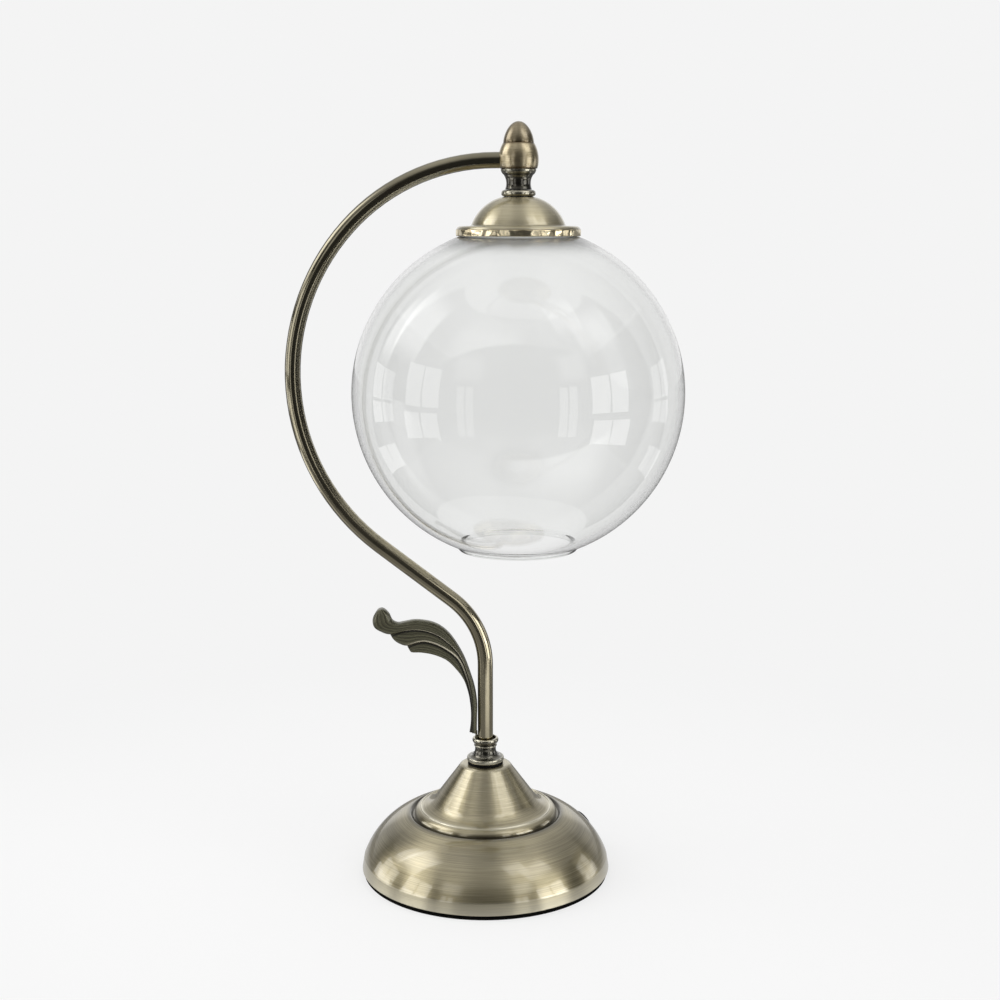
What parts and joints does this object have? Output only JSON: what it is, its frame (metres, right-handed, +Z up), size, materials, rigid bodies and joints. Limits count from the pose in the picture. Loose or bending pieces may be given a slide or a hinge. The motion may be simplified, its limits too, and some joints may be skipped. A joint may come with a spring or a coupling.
{
  "type": "glass table lamp",
  "caption": "Swan-neck table lamp: spun antique brass base, curved tube with a cast leaf, and a clear glass globe hung under a domed cap.",
  "frame": {"origin": "middle of the foot pad's underside, on the axis of the base", "axes": "+Z up; the arm lies in the XZ plane, bows out to -X and carries the globe over +X; the picture looks along +Y"},
  "size_m": [0.1922, 0.16, 0.3701],
  "materials": {
    "antique_brass": "brushed antique brass under clear lacquer",
    "dark_antique": "cast, darkened antique brass",
    "polished_brass": "polished brass",
    "bare_brass": "plain turned brass",
    "zinc_steel": "zinc plated",
    "cast_iron": "as cast",
    "black_foam": "matt black pad",
    "black_rubber": "matt",
    "white_silicone": "matt",
    "block_plastic": "matt",
    "ceramic": null,
    "brown_insulation": "matt",
    "blue_insulation": "matt",
    "clear_glass": "clear, blown"
  },
  "bodies": {
    "lamp": {"foot_pad": "black_foam", "base_plate": "zinc_steel", "base_weight": "cast_iron", "weight_screws": "zinc_steel", "base_dome": "antique_brass", "base_bell": "antique_brass", "base_pipe": "zinc_steel", "base_washer": "zinc_steel", "base_nut": "bare_brass", "cord_grommet": "black_rubber", "terminal_block": "block_plastic", "terminal_tubes": "bare_brass", "terminal_screws": "zinc_steel", "terminal_fixing_screw": "zinc_steel", "neck_gasket": "black_rubber", "neck_flare": "antique_brass", "neck_collar": "antique_brass", "leaf": "dark_antique", "arm_tube": "antique_brass", "ball": "antique_brass", "finial": "antique_brass", "top_neck": "antique_brass", "top_pipe": "zinc_steel", "top_washer": "zinc_steel", "top_nut": "bare_brass", "cap_dome": "antique_brass", "polished_ring": "polished_brass", "shade_gasket": "white_silicone", "shade_clips": "zinc_steel", "holder_bracket": "zinc_steel", "lamp_holder": "ceramic", "holder_contacts": "bare_brass", "holder_screws": "zinc_steel", "lead_live": "brown_insulation", "lead_neutral": "blue_insulation"},
    "globe": {"globe": "clear_glass"}
  },
  "joints": [
    {"name": "globe_drop", "type": "slide", "parent": "lamp", "child": "globe", "axis": [0, 0, -1], "range_m": [0, 0.012]}
  ]
}
